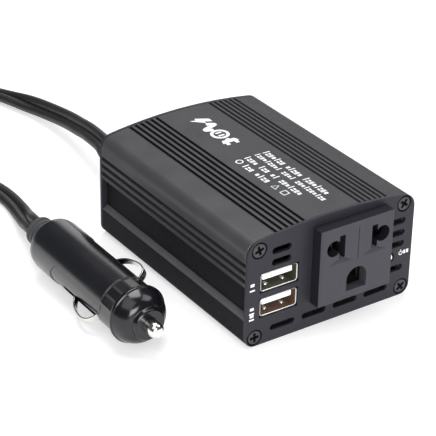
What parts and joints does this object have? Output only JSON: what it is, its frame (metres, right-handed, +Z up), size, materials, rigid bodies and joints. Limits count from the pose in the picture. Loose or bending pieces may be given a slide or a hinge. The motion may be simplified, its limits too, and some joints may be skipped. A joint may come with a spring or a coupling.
{
  "type": "power inverter",
  "caption": "Compact car power inverter: finned aluminium casing with a mains socket and USB ports, on a flat cord with a fused vehicle accessory plug.",
  "frame": {"origin": "on the ground under the middle of the inverter's own box, without its cord and plug", "axes": "+X to the right as the sockets are faced, the sockets face -Y, +Z up"},
  "size_m": [0.1467, 0.2331, 0.0394],
  "materials": {
    "anodised_top": "anodised dark grey, fine satin grain",
    "anodised_base": "anodised near-black grey, satin",
    "plate": "fine matt powder coat, bluish dark grey",
    "socket_plastic": "fine spark-textured moulded plastic, dark grey",
    "screw_black": "zinc plated",
    "brass": "bright stamped",
    "tinplate": "bright tinned",
    "usb_plastic": "moulded",
    "bezel": "moulded",
    "led": "translucent",
    "circuit_board": "solder mask",
    "ferrite": "sintered",
    "coil_tape": "polyester tape",
    "component_black": "moulded epoxy",
    "heat_pad": "silicone",
    "capacitor": "sleeved can",
    "powder_core": "coated iron powder",
    "copper": "enamelled copper",
    "fan_plastic": "glass filled",
    "wire": "insulated wire",
    "cord_rubber": "satin flexible vinyl",
    "boot_rubber": "matt flexible vinyl",
    "plug_gloss": "polished",
    "nickel": "bright nickel plate",
    "fibre": "pressed fibre",
    "fuse_glass": "clear"
  },
  "bodies": {
    "inverter": {"upper_case": "anodised_top", "lower_case": "anodised_base", "front_plate": "plate", "rear_plate": "plate", "front_screws": "screw_black", "rear_screws": "screw_black", "socket_housing": "socket_plastic", "socket_contacts": "brass", "earth_contact": "brass", "usb_shell_upper": "tinplate", "usb_shell_lower": "tinplate", "usb_tongues": "usb_plastic", "usb_board": "circuit_board", "led_bezel": "bezel", "led_lens": "led", "main_board": "circuit_board", "board_screws": "screw_black", "transformer_core": "ferrite", "transformer_winding": "coil_tape", "switch_transistors": "component_black", "heat_pads": "heat_pad", "clamp_bars": "tinplate", "clamp_screws": "screw_black", "input_capacitors": "capacitor", "bulk_capacitor": "capacitor", "choke_core": "powder_core", "choke_winding": "copper", "control_chips": "component_black", "fan_frame": "fan_plastic", "fan_screws": "screw_black", "supply_wires": "wire", "cord_gland": "boot_rubber", "cord_lead_out": "cord_rubber", "cord_coil": "cord_rubber", "cord_lead_in": "cord_rubber", "plug_boot": "boot_rubber", "plug_barrel": "plug_gloss", "pin_spring": "nickel", "fuse_glass": "fuse_glass", "fuse_caps": "tinplate", "fuse_contact": "brass"},
    "fan_rotor": {"fan_rotor": "fan_plastic"},
    "nose_cap": {"nose_cap": "plug_gloss"},
    "pin_washer": {"pin_washer": "fibre"},
    "centre_pin": {"centre_pin": "nickel"},
    "side_spring_left": {"side_spring_left": "nickel"},
    "side_spring_right": {"side_spring_right": "nickel"}
  },
  "joints": [
    {"name": "fan_spin", "type": "hinge", "parent": "inverter", "child": "fan_rotor", "pos_m": [0.01, 0.04, 0.0195], "axis": [0, -1, 0], "continuous": true},
    {"name": "nose_draw", "type": "slide", "parent": "inverter", "child": "pin_washer", "axis": [0, -1, 0], "range_m": [0, 0.003]},
    {"name": "nose_turn", "type": "hinge", "parent": "pin_washer", "child": "nose_cap", "pos_m": [-0.058, -0.02275, 0.0099], "axis": [0, -1, 0], "range_deg": [0, 1081]},
    {"name": "pin_press", "type": "slide", "parent": "pin_washer", "child": "centre_pin", "axis": [0, 1, 0], "range_m": [0, 0.004], "stiffness_N_per_m": 800, "springref_m": -0.001, "deforming": ["pin_spring"]},
    {"name": "left_spring_flex", "type": "hinge", "parent": "inverter", "child": "side_spring_left", "pos_m": [-0.06196, 0.00975, 0.00775], "axis": [-0.4772, 0, 0.8788], "range_deg": [0, 7], "stiffness_Nm_per_rad": 0.5, "springref_deg": -2.86},
    {"name": "right_spring_flex", "type": "hinge", "parent": "inverter", "child": "side_spring_right", "pos_m": [-0.05405, 0.00975, 0.01205], "axis": [0.4772, 0, -0.8788], "range_deg": [0, 7], "stiffness_Nm_per_rad": 0.5, "springref_deg": -2.86}
  ],
  "couplings": [
    {"joint": "nose_turn", "follows": "nose_draw", "rad_per_m": 6283.2}
  ]
}
